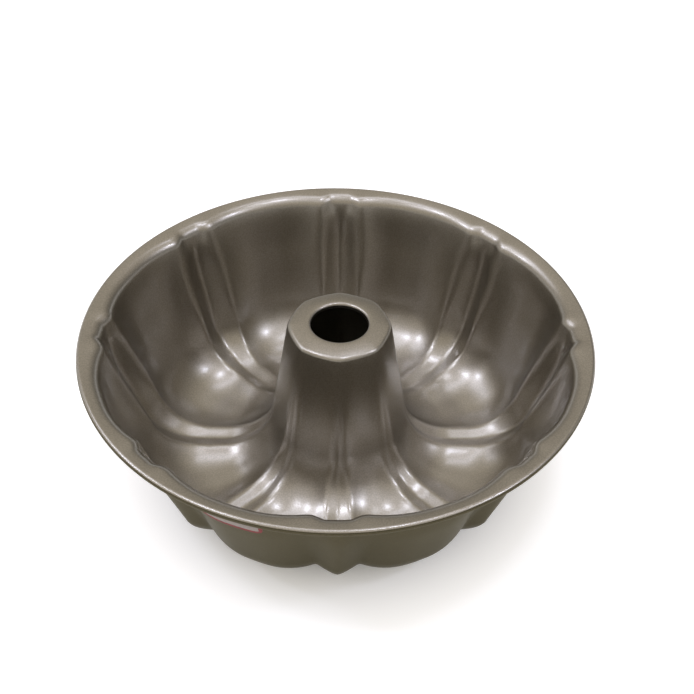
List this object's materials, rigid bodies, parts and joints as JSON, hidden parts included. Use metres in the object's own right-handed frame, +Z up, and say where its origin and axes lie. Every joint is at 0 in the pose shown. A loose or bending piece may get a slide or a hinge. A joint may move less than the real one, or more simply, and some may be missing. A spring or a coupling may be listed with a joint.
{
  "type": "fluted tube pan",
  "caption": "Round ring-cake pan pressed from steel sheet, with vee flutes between wide lobes, a hollow centre tube, a flat flange and a rolled wire rim.",
  "frame": {"origin": "centre of the pan on the surface that it stands on", "axes": "+Z up along the tube's axis, -Y to the front, towards one of the vee flutes"},
  "size_m": [0.254, 0.254, 0.0865],
  "materials": {
    "coated_steel": "satin",
    "wire_steel": "satin",
    "label_paper": "satin"
  },
  "bodies": {
    "root": {"pan_shell": "coated_steel", "rim_wire": "wire_steel", "label": "label_paper"}
  },
  "joints": []
}
